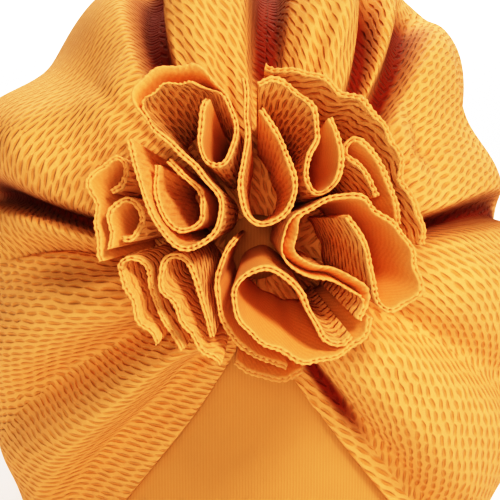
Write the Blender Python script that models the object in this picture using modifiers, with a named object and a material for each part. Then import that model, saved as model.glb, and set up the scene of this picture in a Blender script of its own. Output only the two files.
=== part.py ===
"""Child's turban hat in a stretch knit: a plain inner cap, two puffed wraps that are gathered
at the front and part below into an upturned V, and a ruffled flower of open petals.

Metres, +Z up. The hat stands on its rim, its front faces -Y, +X is the viewer's right. The
origin is below the middle of the whole hat, on the surface that the rim rests on.
"""
import math
from collections import namedtuple

import bmesh
import bpy
import numpy as np
from mathutils import Vector
from mathutils.bvhtree import BVHTree

# Cloth
CAP_WALL = 0.0015
WRAP_WALL = 0.0016
PETAL_WALL = 0.0017
SEAT_GAP = 0.0003            # sewn pieces lie this far apart

# Inner cap: half sizes of the rounded form that a head fills
CAP_SIDE = 0.074
CAP_FRONT = 0.074
CAP_BACK = 0.082
CAP_UP = 0.078
CAP_DOWN = 0.168             # how slowly it narrows towards the rim
ROUNDNESS = 2.2              # 2 is an ellipsoid, more is fuller
CENTRE_HEIGHT = 0.094        # of the widest level above the rim
HEM_HEIGHT = 0.008           # straight band at the rim

# Wraps: half sizes of the puffed outside
PUFF_SIDE = 0.091
PUFF_FRONT = 0.090
PUFF_BACK = 0.098
PUFF_UP = 0.098
PUFF_DOWN = 0.138
FOLD_DEPTH = 0.0125          # of the deepest valley
GATHER_TILT = 15.0           # degrees that the gathered front looks up
GATHER_RADIUS = 7.0          # degrees about the centre, where the cloth is sewn down
V_BEARING = 88.0             # degrees below level at which the wraps part
V_RIM_ANGLE = 52.0           # degrees either side of the front, where the V meets the rim

# How the cloth runs: shares of the way from the gather (0) to the hem (1)
PUFFED_FROM = 0.30           # fully puffed from here
TUCKED_FROM = 0.89           # rolls under to the hem from here
FOLD_FADE_IN = 0.10
FOLD_FADE_OUT = 0.25
DEEPEST_SHARE = 0.85         # of the puff that a valley may draw in
V_EDGE_BAND = 30.0           # degrees over which the puff sinks to the edge of the V
V_EDGE_PUFF = 0.06           # share of the puff that is left at that edge
THREAD_SPREAD = 1.1          # more than 1 crowds the threads over the crown
LEAVE_LOW, LEAVE_HIGH = 0.30, 1.65     # how far threads run straight out, at the V and crown
ARRIVE_LOW, ARRIVE_HIGH = 0.50, 1.65   # and how far they run straight into the hem
HEM_LEAN = 42.0              # degrees that threads lean forward at the hem, beside the V

# Flower
FLOWER_RADIUS = 0.0465
FLOWER_HEIGHT = 0.031        # from the gathers to the foremost edge
FLOWER_RISE = 0.009          # of its middle above the gather
PETAL_FOOT = 0.60            # share of the spread that is left at the foot

# Mesh densities
CAP_SEGMENTS = 32
CAP_RINGS = 18
WRAP_COLUMNS = 34
WRAP_ROWS = 19
EDGE_STEPS = 2               # pieces of a petal's edge between two of its turns
PETAL_ROWS = 2
SEAT_PASSES = 3              # times that a petal's foot is set down on the cloth

Form = namedtuple("Form", "side front back up down")
CAP = Form(CAP_SIDE, CAP_FRONT, CAP_BACK, CAP_UP, CAP_DOWN)
PUFF = Form(PUFF_SIDE, PUFF_FRONT, PUFF_BACK, PUFF_UP, PUFF_DOWN)

# A fold runs out from the gather. Bearings are degrees round it, 0 to the viewer's right and
# 90 up. Starts and ends are shares of the way to the rim, depth is a share of FOLD_DEPTH
# (a negative one swells), half_width is in degrees.
Fold = namedtuple("Fold", "bearing drift start end depth half_width")
FOLDS = {
    "crown_seam": Fold(87, 0, 0.06, 1.05, 0.95, 9),
    "upper_right_crease": Fold(53, 18, 0.10, 0.50, 0.35, 6),
    "right_shoulder_valley": Fold(44, 18, 0.08, 0.70, 0.95, 8),
    "right_shoulder": Fold(32, 0, 0.18, 0.95, 0.80, 15),
    "right_valley": Fold(2, 18, 0.10, 0.75, 0.90, 8),
    "lower_right_valley": Fold(-76, -8, 0.20, 0.95, 0.75, 7),
    "right_panel": Fold(-30, 0, 0.25, 0.95, -0.25, 24),
    "upper_left_valley": Fold(123, -16, 0.08, 0.70, 0.95, 8),
    "left_tuck": Fold(153, 0, 0.08, 0.36, 0.40, 6),
    "upper_left_slope": Fold(133, 0, 0.20, 0.80, 0.35, 12),
    "left_corner": Fold(152, 0, 0.25, 0.80, -0.60, 14),
    "left_valley": Fold(176, -24, 0.10, 0.75, 0.85, 7),
    "left_crease": Fold(186, -8, 0.12, 0.55, 0.60, 6),
    "lower_left_fold": Fold(221, -6, 0.12, 0.75, 0.60, 9),
    "left_hem_fold": Fold(250, 4, 0.25, 0.95, 0.45, 8),
}

# A petal's free edge, turn by turn: right and up from the flower's middle, as shares of
# FLOWER_RADIUS. Its height is a share of FLOWER_HEIGHT.
Petal = namedtuple("Petal", "height turns")
PETALS = {
    "petal_upper_left": Petal(1.00, [
        (-0.77, 0.45), (-0.72, 0.26), (-0.63, 0.00), (-0.48, -0.19), (-0.31, -0.17),
        (-0.22, -0.02), (-0.27, 0.17), (-0.45, 0.37), (-0.66, 0.56), (-0.73, 0.70),
        (-0.64, 0.83), (-0.46, 0.89), (-0.29, 0.84), (-0.17, 0.66), (-0.13, 0.47),
        (-0.20, 0.31), (-0.32, 0.33), (-0.34, 0.50), (-0.29, 0.69)]),
    "petal_left": Petal(0.92, [
        (-0.60, 0.30), (-0.61, 0.15), (-0.56, -0.01), (-0.46, -0.10), (-0.34, -0.04),
        (-0.33, 0.07), (-0.41, 0.21), (-0.53, 0.33)]),
    "petal_outer_left": Petal(0.72, [
        (-0.94, -0.28), (-0.98, -0.06), (-1.00, 0.15), (-0.96, 0.28), (-0.86, 0.35),
        (-0.80, 0.30), (-0.82, 0.19), (-0.89, 0.14)]),
    "petal_small_left": Petal(0.78, [
        (-0.87, -0.20), (-0.91, -0.08), (-0.89, 0.04), (-0.80, 0.09), (-0.72, 0.05),
        (-0.70, -0.04), (-0.75, -0.13), (-0.82, -0.14)]),
    "petal_low_left": Petal(0.74, [
        (-0.60, -0.78), (-0.70, -0.66), (-0.79, -0.48), (-0.84, -0.33), (-0.75, -0.27),
        (-0.67, -0.31), (-0.64, -0.45), (-0.57, -0.63), (-0.45, -0.81)]),
    "petal_lower_left": Petal(0.86, [
        (-0.22, -0.91), (-0.34, -0.80), (-0.47, -0.62), (-0.55, -0.44), (-0.58, -0.31),
        (-0.52, -0.25), (-0.43, -0.27), (-0.37, -0.39), (-0.32, -0.56), (-0.27, -0.74)]),
    "petal_bottom_left": Petal(0.84, [
        (-0.13, -0.14), (-0.20, -0.26), (-0.24, -0.43), (-0.22, -0.60), (-0.15, -0.73),
        (-0.06, -0.82), (0.06, -0.88), (0.18, -0.92)]),
    "petal_lowest": Petal(0.66, [
        (-0.13, -0.90), (-0.04, -0.96), (0.07, -0.99), (0.18, -0.99), (0.28, -0.95)]),
    "petal_bottom_cornet": Petal(1.00, [
        (0.69, -0.62), (0.64, -0.73), (0.51, -0.84), (0.34, -0.88), (0.16, -0.83),
        (0.00, -0.75), (-0.11, -0.62), (-0.14, -0.48), (-0.07, -0.37), (0.05, -0.32),
        (0.17, -0.37), (0.26, -0.47), (0.33, -0.61), (0.40, -0.74), (0.50, -0.78),
        (0.57, -0.73)]),
    "petal_lower_right": Petal(1.00, [
        (0.61, -0.63), (0.65, -0.53), (0.57, -0.44), (0.41, -0.39), (0.25, -0.33),
        (0.16, -0.22), (0.17, -0.11), (0.23, -0.02), (0.34, 0.05), (0.48, 0.11),
        (0.65, 0.08), (0.80, -0.04), (0.92, -0.19), (0.97, -0.37), (0.92, -0.52),
        (0.82, -0.58), (0.73, -0.53), (0.69, -0.36), (0.64, -0.16), (0.54, -0.01)]),
    "petal_centre": Petal(1.00, [
        (-0.08, 0.81), (-0.06, 0.63), (-0.06, 0.42), (-0.10, 0.21), (-0.08, 0.03),
        (0.03, -0.05), (0.16, 0.00), (0.23, 0.14), (0.20, 0.31), (0.11, 0.50),
        (0.02, 0.64)]),
    "petal_upper_right": Petal(0.94, [
        (0.01, 0.77), (0.10, 0.81), (0.23, 0.76), (0.34, 0.63), (0.37, 0.48),
        (0.31, 0.36), (0.29, 0.23), (0.37, 0.14), (0.47, 0.19), (0.51, 0.32),
        (0.49, 0.46), (0.44, 0.58)]),
    "petal_right": Petal(0.80, [
        (0.05, 0.91), (0.24, 0.86), (0.45, 0.80), (0.63, 0.70), (0.76, 0.55),
        (0.87, 0.31), (0.96, 0.06), (1.01, -0.18)]),
    "petal_right_tuck": Petal(0.84, [
        (0.86, -0.06), (0.83, 0.10), (0.76, 0.28), (0.67, 0.41), (0.59, 0.46),
        (0.55, 0.39), (0.61, 0.30), (0.69, 0.20), (0.73, 0.11)]),
}

# Axes of the gather: out of the hat, to the viewer's right, and up along its front
TILT = math.radians(GATHER_TILT)
OUTWARD = np.array([0.0, -math.cos(TILT), math.sin(TILT)])
RIGHT = np.array([1.0, 0.0, 0.0])
UPWARD = np.array([0.0, math.sin(TILT), math.cos(TILT)])
CENTRE = np.array([0.0, 0.0, CENTRE_HEIGHT])
WRAP_RISE = WRAP_WALL + SEAT_GAP    # of a wrap's outside above the cap, where it is sewn down
LEAN_RISE = PETAL_WALL / 4          # a leaning wall's lower corner hangs below its middle


def form_radius(direction, form, grow=0.0):
    """Distance from the centre to a rounded form along unit vectors."""
    x, y, z = np.abs(direction[..., 0]), direction[..., 1], direction[..., 2]
    depth = np.where(y < 0, form.front, form.back) + grow
    height = np.where(z > 0, form.up, form.down) + grow
    total = ((x / (form.side + grow)) ** ROUNDNESS + (np.abs(y) / depth) ** ROUNDNESS
             + (np.abs(z) / height) ** ROUNDNESS)
    return total ** (-1 / ROUNDNESS)


def hem_point(around, form, grow, height):
    """Point on the outline of a form at a height, given angles from the front."""
    x, y = np.sin(around), -np.cos(around)
    depth = np.where(y < 0, form.front, form.back) + grow
    drop = (CENTRE_HEIGHT - height) / (form.down + grow)
    share = (1 - drop ** ROUNDNESS) ** (1 / ROUNDNESS)
    reach = share * ((np.abs(x) / (form.side + grow)) ** ROUNDNESS
                     + (np.abs(y) / depth) ** ROUNDNESS) ** (-1 / ROUNDNESS)
    return np.stack([x * reach, y * reach, np.full_like(reach, height - CENTRE_HEIGHT)], -1)


def unit(vectors):
    return vectors / np.linalg.norm(vectors, axis=-1, keepdims=True)


def ease(value, low, high):
    """0 below low, 1 above high, smooth between."""
    share = np.clip((value - low) / (high - low), 0, 1)
    return share * share * (3 - 2 * share)


def thread_direction(bearing, way):
    """Where the cloth's threads run: from the gather over the hat to the hem, as directions
    from the centre. The left side mirrors the right."""
    left = bearing > 90
    level = np.where(left, 180 - bearing, bearing)
    turn = (90 - level) / (90 + V_BEARING)
    around = np.radians(180 - (180 - V_RIM_ANGLE) * turn ** THREAD_SPREAD)
    leave = LEAVE_LOW + (LEAVE_HIGH - LEAVE_LOW) * (1 - turn) ** 1.4
    arrive = ARRIVE_LOW + (ARRIVE_HIGH - ARRIVE_LOW) * (1 - turn) ** 2
    lean = math.radians(HEM_LEAN) * turn ** 3
    angle = np.radians(level)
    away = np.cos(angle)[..., None] * RIGHT + np.sin(angle)[..., None] * UPWARD
    radius = math.radians(GATHER_RADIUS)
    start = math.cos(radius) * OUTWARD + math.sin(radius) * away
    heading = -math.sin(radius) * OUTWARD + math.cos(radius) * away
    end = unit(hem_point(around, CAP, WRAP_RISE, HEM_HEIGHT))
    forward = np.stack([-np.cos(around), -np.sin(around), np.zeros_like(around)], -1)
    rising = np.cos(lean)[..., None] * np.array([0.0, 0.0, 1.0]) + np.sin(lean)[..., None] * forward
    first = start + leave[..., None] * heading
    second = end + arrive[..., None] * rising
    s = way[..., None]
    path = ((1 - s) ** 3 * start + 3 * (1 - s) ** 2 * s * first + 3 * (1 - s) * s * s * second
            + s ** 3 * end)
    path = unit(path)
    path[..., 0] = np.where(left, -path[..., 0], path[..., 0])
    return path


def fold_depth(bearing, way):
    """How far the folds draw the cloth in, in metres."""
    depth = np.zeros_like(bearing)
    for fold in FOLDS.values():
        middle = fold.bearing + fold.drift * (way - fold.start) / (fold.end - fold.start)
        across = np.exp(-((bearing - middle) / fold.half_width) ** 2)
        along = (ease(way, fold.start, fold.start + FOLD_FADE_IN)
                 * (1 - ease(way, fold.end - FOLD_FADE_OUT, fold.end)))
        depth += fold.depth * FOLD_DEPTH * across * along
    return depth


def wrap_point(bearing, way):
    """Outside of the wraps, from the gather (way 0) to the hem (way 1)."""
    direction = thread_direction(bearing, way)
    snug = form_radius(direction, CAP, WRAP_RISE)
    full = np.maximum(form_radius(direction, PUFF), snug)
    from_crown = np.abs(bearing - 90)
    at_v_edge = ease(from_crown, 90 + V_BEARING - V_EDGE_BAND, 90 + V_BEARING)
    beside_v = 1 - (1 - V_EDGE_PUFF) * at_v_edge
    puff = ease(way, 0.0, PUFFED_FROM) * (1 - ease(way, TUCKED_FROM, 1.0)) * beside_v
    gap = (full - snug) * puff
    drawn_in = np.minimum(fold_depth(bearing, way), DEEPEST_SHARE * gap)
    return CENTRE + direction * (snug + gap - drawn_in)[..., None]


def wrap_place(side, along, down):
    """A wrap's grid: along runs from the crown seam to the V, down from the gather to the rim."""
    rows_down = 1 - 1 / WRAP_ROWS
    bearing = 90 - side * along * (90 + V_BEARING)
    way = np.clip(down / rows_down, 0, 1)
    place = wrap_point(bearing, way)
    place[..., 0] = side * (np.abs(place[..., 0]) + SEAT_GAP / 2)
    place[..., 2] -= HEM_HEIGHT * np.clip((down - rows_down) * WRAP_ROWS, 0, 1)
    return place


def smooth_line(turns, steps):
    """Points on a smooth curve through the turns."""
    turns = np.array(turns)
    padded = np.vstack([2 * turns[0] - turns[1], turns, 2 * turns[-1] - turns[-2]])
    points = []
    for before, here, there, after in zip(padded, padded[1:], padded[2:], padded[3:]):
        for step in range(steps):
            s = step / steps
            points.append(0.5 * (2 * here + (there - before) * s
                                 + (2 * before - 5 * here + 4 * there - after) * s * s
                                 + (3 * here - before - 3 * there + after) * s ** 3))
    points.append(turns[-1])
    return np.array(points)


def plain_knit(name, colour, roughness):
    material = bpy.data.materials.new(name)
    material.use_nodes = True
    shader = material.node_tree.nodes["Principled BSDF"]
    shader.inputs["Base Color"].default_value = colour
    shader.inputs["Roughness"].default_value = roughness
    shader.inputs["Metallic"].default_value = 0.0
    material.diffuse_color = colour
    return material


def add_part(name, shape, material, wall, inside=-1.0):
    """Names a shaped surface, gives it its wall and puts it on the hat."""
    mesh = bpy.data.meshes.new(name)
    shape.to_mesh(mesh)
    shape.free()
    mesh.shade_smooth()
    mesh.materials.append(material)
    part = bpy.data.objects.new(name, mesh)
    hat_parts.objects.link(part)
    part.parent = hat
    thickness = part.modifiers.new("wall", "SOLIDIFY")
    thickness.thickness = wall
    thickness.offset = inside
    thickness.use_even_offset = False
    return part


def cloth_grid(columns, rows, place):
    """A flat grid whose points are moved to place(along, down), both from 0 to 1."""
    shape = bmesh.new()
    bmesh.ops.create_grid(shape, x_segments=columns, y_segments=rows, size=0.5)
    along = np.array([vert.co.x + 0.5 for vert in shape.verts])
    down = np.array([0.5 - vert.co.y for vert in shape.verts])
    for vert, point in zip(shape.verts, place(along, down)):
        vert.co = Vector(point)
    return shape


def make_inner_cap(material):
    shape = bmesh.new()
    bmesh.ops.create_uvsphere(shape, u_segments=CAP_SEGMENTS, v_segments=CAP_RINGS, radius=1.0)
    hem_top = HEM_HEIGHT - CENTRE_HEIGHT
    below = []
    for vert in shape.verts:
        direction = np.array(unit(np.array(vert.co)))
        place = direction * form_radius(direction, CAP)
        if place[2] < hem_top:
            below.append(vert)
        vert.co = Vector(place + CENTRE)
    bmesh.ops.delete(shape, geom=below, context="VERTS")
    edges = [edge for edge in shape.edges if edge.is_boundary]
    for height in (HEM_HEIGHT, 0.0):
        ring = bmesh.ops.extrude_edge_only(shape, edges=edges)["geom"]
        edges = [item for item in ring if isinstance(item, bmesh.types.BMEdge)]
        for vert in (item for item in ring if isinstance(item, bmesh.types.BMVert)):
            around = np.array(math.atan2(vert.co.x, -vert.co.y))
            outline = hem_point(around, CAP, 0.0, HEM_HEIGHT)
            vert.co = Vector((outline[0], outline[1], height))
    bmesh.ops.recalc_face_normals(shape, faces=shape.faces)
    return add_part("inner_cap", shape, material, CAP_WALL)


def make_wrap(name, side, material):
    """side is 1 on the viewer's right and -1 on the left."""
    def place(along, down):
        return wrap_place(side, along, down)
    shape = cloth_grid(WRAP_COLUMNS, WRAP_ROWS, place)
    if side > 0:
        bmesh.ops.reverse_faces(shape, faces=shape.faces)
    return add_part(name, shape, material, WRAP_WALL)


def ground_under(points, ground):
    """How far out from the centre the cloth reaches below each point of the flower's plan."""
    start_height = CENTRE_HEIGHT + PUFF_FRONT + PUFF_SIDE
    heights = []
    for right, up in points:
        origin = CENTRE + start_height * OUTWARD + right * RIGHT + up * UPWARD
        reach = [tree.ray_cast(Vector(origin), Vector(-OUTWARD))[3] for tree in ground]
        heights.append(start_height - min(distance for distance in reach if distance))
    return np.array(heights)


def make_petal(name, petal, ground, material):
    """A wall of cloth along the petal's edge, which narrows with the flower to its foot."""
    foot_level = CAP_FRONT + WRAP_RISE

    def spread(level):
        share = (level - foot_level) / FLOWER_HEIGHT
        return PETAL_FOOT + (1 - PETAL_FOOT) * np.clip(share, 0, 1)

    top = foot_level + petal.height * FLOWER_HEIGHT
    plan = smooth_line(petal.turns, EDGE_STEPS) * FLOWER_RADIUS / spread(top)
    middle = np.array([0.0, FLOWER_RISE])
    slope = np.gradient(plan, axis=0)
    across = unit(np.stack([-slope[:, 1], slope[:, 0]], -1)) * PETAL_WALL
    ahead, behind = np.vstack([plan[1:], plan[-1:]]), np.vstack([plan[:1], plan[:-1]])
    footprint = [plan + (beside - plan) * share + shift
                 for beside in (ahead, behind) for share in (0.0, 0.25, 0.5, 0.75)
                 for shift in (-across, 0 * across, across)]
    foot = np.full(len(plan), foot_level)
    for _ in range(SEAT_PASSES):
        reach = spread(foot)[:, None]
        foot = SEAT_GAP + LEAN_RISE + np.max([ground_under(places * reach + middle, ground)
                                              for places in footprint], axis=0)
        foot = np.maximum(foot, foot_level + SEAT_GAP + LEAN_RISE)

    def place(along, down):
        column = np.rint(along * (len(plan) - 1)).astype(int)
        level = top + (foot[column] - top) * down
        flat = plan[column] * spread(level)[:, None] + middle
        return (CENTRE + level[:, None] * OUTWARD + flat[:, :1] * RIGHT + flat[:, 1:] * UPWARD)

    shape = cloth_grid(len(plan) - 1, PETAL_ROWS, place)
    part = add_part(name, shape, material, PETAL_WALL, inside=0.0)
    weights = part.vertex_groups.new(name="wall_share")
    for vert in part.data.vertices:
        level = float(np.dot(np.array(vert.co) - CENTRE, OUTWARD))
        weights.add([vert.index], float(spread(level)), "REPLACE")
    part.modifiers["wall"].vertex_group = weights.name
    return part


def solid_tree(part):
    """The finished solid of a part, ready to be probed by rays."""
    return BVHTree.FromObject(part, bpy.context.evaluated_depsgraph_get())


def stand_on_origin(parts):
    """Moves the hat so that the origin is below the middle of its box."""
    depsgraph = bpy.context.evaluated_depsgraph_get()
    corners = []
    for part in parts:
        mesh = part.evaluated_get(depsgraph).to_mesh()
        corners.extend(vert.co.copy() for vert in mesh.vertices)
    corners = np.array(corners)
    low, high = corners.min(axis=0), corners.max(axis=0)
    hat.location = (-(low[0] + high[0]) / 2, -(low[1] + high[1]) / 2, -low[2])


for old in list(bpy.data.objects):
    bpy.data.objects.remove(old, do_unlink=True)
hat_parts = bpy.data.collections.new("turban_hat")
bpy.context.scene.collection.children.link(hat_parts)
hat = bpy.data.objects.new("turban_hat_origin", None)
hat_parts.objects.link(hat)

plain_side = plain_knit("plain_jersey_ochre", (0.69, 0.29, 0.05, 1.0), 0.85)
bullet_side = plain_knit("bullet_knit_mustard", (0.76, 0.33, 0.06, 1.0), 0.8)
petal_cloth = plain_knit("bullet_knit_petals", (0.80, 0.36, 0.07, 1.0), 0.8)

inner_cap = make_inner_cap(plain_side)
wraps = [make_wrap("right_wrap", 1, bullet_side), make_wrap("left_wrap", -1, bullet_side)]
bpy.context.view_layer.update()
ground = [solid_tree(part) for part in [inner_cap] + wraps]
petals = [make_petal(name, petal, ground, petal_cloth) for name, petal in PETALS.items()]
bpy.context.view_layer.update()
stand_on_origin([inner_cap] + wraps + petals)
bpy.context.view_layer.update()
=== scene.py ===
import math
from collections import namedtuple

import bpy
import numpy as np
from mathutils import Matrix, Vector
from mathutils.bvhtree import BVHTree


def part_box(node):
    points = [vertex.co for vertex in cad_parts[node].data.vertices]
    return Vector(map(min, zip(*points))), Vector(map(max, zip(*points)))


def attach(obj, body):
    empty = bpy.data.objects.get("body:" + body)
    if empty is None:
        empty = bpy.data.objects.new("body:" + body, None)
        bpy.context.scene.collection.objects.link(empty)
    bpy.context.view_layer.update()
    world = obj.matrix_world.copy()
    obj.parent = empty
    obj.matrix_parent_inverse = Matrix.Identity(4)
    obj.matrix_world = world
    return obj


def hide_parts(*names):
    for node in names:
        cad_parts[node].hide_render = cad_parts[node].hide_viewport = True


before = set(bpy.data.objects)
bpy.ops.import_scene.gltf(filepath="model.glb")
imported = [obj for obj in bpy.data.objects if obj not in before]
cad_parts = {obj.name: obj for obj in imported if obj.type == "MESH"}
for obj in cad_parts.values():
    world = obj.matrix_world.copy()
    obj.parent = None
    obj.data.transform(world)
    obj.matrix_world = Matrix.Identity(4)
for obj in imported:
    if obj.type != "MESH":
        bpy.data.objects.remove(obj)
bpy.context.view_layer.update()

# Looks of a child's turban hat in mustard bullet knit. The hat stands on its rim at z = 0, its
# front faces -Y. All sizes are in metres unless a name ends in MM or PX.

# Sizes that the CAD source has too
WRAP_WALL = 0.0016
CAP_WALL = 0.0015
SEAT_GAP = 0.0003
WRAP_RISE = WRAP_WALL + SEAT_GAP
CENTRE_HEIGHT = 0.094
HEM_HEIGHT = 0.008
ROUNDNESS = 2.2
FOLD_DEPTH = 0.0125
GATHER_RADIUS = 7.0
V_BEARING = 88.0
V_RIM_ANGLE = 52.0
PUFFED_FROM = 0.30
TUCKED_FROM = 0.89
FOLD_FADE_IN = 0.10
FOLD_FADE_OUT = 0.25
DEEPEST_SHARE = 0.85
V_EDGE_BAND = 30.0
V_EDGE_PUFF = 0.06
THREAD_SPREAD = 1.1
LEAVE_LOW, LEAVE_HIGH = 0.30, 1.65
ARRIVE_LOW, ARRIVE_HIGH = 0.50, 1.65
HEM_LEAN = 42.0
FLOWER_RADIUS = 0.0465
FLOWER_HEIGHT = 0.031
FLOWER_RISE = 0.009
PETAL_FOOT = 0.60

Form = namedtuple("Form", "side front back up down")
CAP = Form(0.074, 0.074, 0.082, 0.078, 0.168)
PUFF = Form(0.091, 0.090, 0.098, 0.098, 0.138)

# Bearings are degrees round the gather: 0 to the viewer's right, 90 up. Starts and ends are
# shares of the way from the gather to the rim, depth is a share of FOLD_DEPTH.
Fold = namedtuple("Fold", "bearing drift start end depth half_width")
FOLDS = {
    "crown_seam": Fold(87, 0, 0.06, 1.05, 0.95, 9),
    "upper_right_crease": Fold(53, 18, 0.10, 0.50, 0.35, 6),
    "right_shoulder_valley": Fold(44, 18, 0.08, 0.70, 0.95, 8),
    "right_shoulder": Fold(32, 0, 0.18, 0.95, 0.80, 15),
    "right_valley": Fold(2, 18, 0.10, 0.75, 0.90, 8),
    "lower_right_valley": Fold(-76, -8, 0.20, 0.95, 0.75, 7),
    "right_panel": Fold(-30, 0, 0.25, 0.95, -0.25, 24),
    "upper_left_valley": Fold(123, -16, 0.08, 0.70, 0.95, 8),
    "left_tuck": Fold(153, 0, 0.08, 0.36, 0.40, 6),
    "upper_left_slope": Fold(133, 0, 0.20, 0.80, 0.35, 12),
    "left_corner": Fold(152, 0, 0.25, 0.80, -0.60, 14),
    "left_valley": Fold(176, -24, 0.10, 0.75, 0.85, 7),
    "left_crease": Fold(186, -8, 0.12, 0.55, 0.60, 6),
    "lower_left_fold": Fold(221, -6, 0.12, 0.75, 0.60, 9),
    "left_hem_fold": Fold(250, 4, 0.25, 0.95, 0.45, 8),
}

# How the knit shows a valley: it is drawn in further than the plain solid, and a deep narrow one
# has steep walls. The walls' share of the valley's section, how far out they stand in half widths
# of the fold, the shallowest and the widest fold that has them, and how near the cap one may go.
VALLEY_SHOWN = 1.5
CLEFT_SHARE = 0.7
CLEFT_REACH = 0.52
CLEFT_SHALLOWEST = 0.7
CLEFT_WIDEST = 10
CLEFT_DEEPEST = 0.98
CLEFT_FROM, CLEFT_GONE = 0.45, 0.80     # shares of the way over which the walls die out
SHADE_REACH = 0.75                      # of the painted shade in the deep valleys, in half widths of the fold

# Bulges between the valleys, as folds that swell
SWELLS = [Fold(105, -6, 0.12, 0.80, 0.30, 9), Fold(66, 8, 0.12, 0.60, 0.20, 7),
          Fold(22, 10, 0.14, 0.70, 0.20, 9), Fold(163, -18, 0.12, 0.70, 0.20, 8),
          Fold(200, -4, 0.14, 0.70, 0.22, 9), Fold(238, 0, 0.16, 0.70, 0.16, 8),
          Fold(-8, 4, 0.14, 0.75, 0.30, 8)]

# Dips that only the knit shows: the notch in the outline at the upper right, the crease that
# parts the two panels at the lower right, the slack panel at the upper left, and the pinch that
# deepens the crease at the upper right
NOTCHES = [Fold(38, 0, 0.45, 1.00, 0.42, 8), Fold(-30, 3, 0.15, 0.80, 0.45, 8),
           Fold(141, 0, 0.25, 0.90, 0.30, 12), Fold(53, 18, 0.10, 0.55, 0.72, 5)]

# Valleys that one side leans over: 1 where the side of higher bearing does, -1 the other, and
# how far in half widths of the fold
LIPS = {"right_shoulder_valley": (-1, 0.2), "left_crease": (1, 0.7), "left_tuck": (1, 0.5),
        "right_valley": (-1, 0.35), "left_valley": (-1, 0.35)}
LIP_MIDDLE, LIP_SPREAD = 0.4, 0.32      # where beside the valley it leans most, and how widely

# Narrow pleats where the cloth is drawn in under the flower: bearing, depth in metres, half
# width in degrees and about the share of the way at which each dies out
Pleat = namedtuple("Pleat", "bearing depth half_width end")
PLEATS = [
    Pleat(101, 0.0014, 2.4, 0.26), Pleat(112, 0.0012, 2.4, 0.24), Pleat(136, 0.0012, 2.6, 0.28),
    Pleat(145, 0.0009, 2.2, 0.22), Pleat(163, 0.0014, 2.6, 0.30), Pleat(197, 0.0012, 2.6, 0.28),
    Pleat(206, 0.0010, 2.4, 0.24), Pleat(216, 0.0012, 2.6, 0.26), Pleat(234, 0.0013, 2.6, 0.30),
    Pleat(243, 0.0009, 2.2, 0.24), Pleat(255, 0.0010, 2.4, 0.26),
    Pleat(80, 0.0013, 2.2, 0.28), Pleat(72, 0.0015, 2.2, 0.32), Pleat(64, 0.0014, 2.2, 0.30),
    Pleat(50, 0.0010, 2.0, 0.24), Pleat(30, 0.0012, 2.2, 0.28), Pleat(20, 0.0011, 2.2, 0.26),
    Pleat(10, 0.0010, 2.0, 0.24), Pleat(-13, 0.0012, 2.4, 0.26), Pleat(-24, 0.0010, 2.2, 0.24),
    Pleat(-36, 0.0013, 2.4, 0.28), Pleat(-48, 0.0011, 2.4, 0.26), Pleat(-60, 0.0012, 2.2, 0.30),
    Pleat(-66, 0.0010, 2.0, 0.28),
]
PLEAT_SHOWN = 1.7                       # how many times its depth the knit shows
PLEAT_FROM, PLEAT_FULL = 0.02, 0.08     # shares of the way over which a pleat sets in
PLEAT_FADING, PLEAT_GONE = 0.5, 1.35    # shares of its end over which it fades

# Waves of soft cloth that hangs slack: their depth, and the shares of the way over which they
# set in
SLACK_DEPTH = 0.0007
SLACK_FROM, SLACK_FULL = 0.15, 0.4

# Lengths of cloth between two valleys, each with its own grain. From the crown round to the V:
# the valley that ends it, the bearing of its middle thread, and how far the bumps' long side is
# turned from that thread, in degrees
Lap = namedtuple("Lap", "ends_at middle turned")
RIGHT_LAPS = [Lap("right_shoulder_valley", 68, 44), Lap("right_valley", 25, 12),
              Lap("right_panel", -14, -18), Lap("lower_right_valley", -52, -16),
              Lap(None, -80, 10)]
LEFT_LAPS = [Lap("upper_left_valley", 107, 18), Lap("left_tuck", 140, -93),
             Lap("left_valley", 165, -118), Lap("left_crease", 181, -75),
             Lap("lower_left_fold", 206, -20), Lap(None, 246, -46)]

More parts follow.
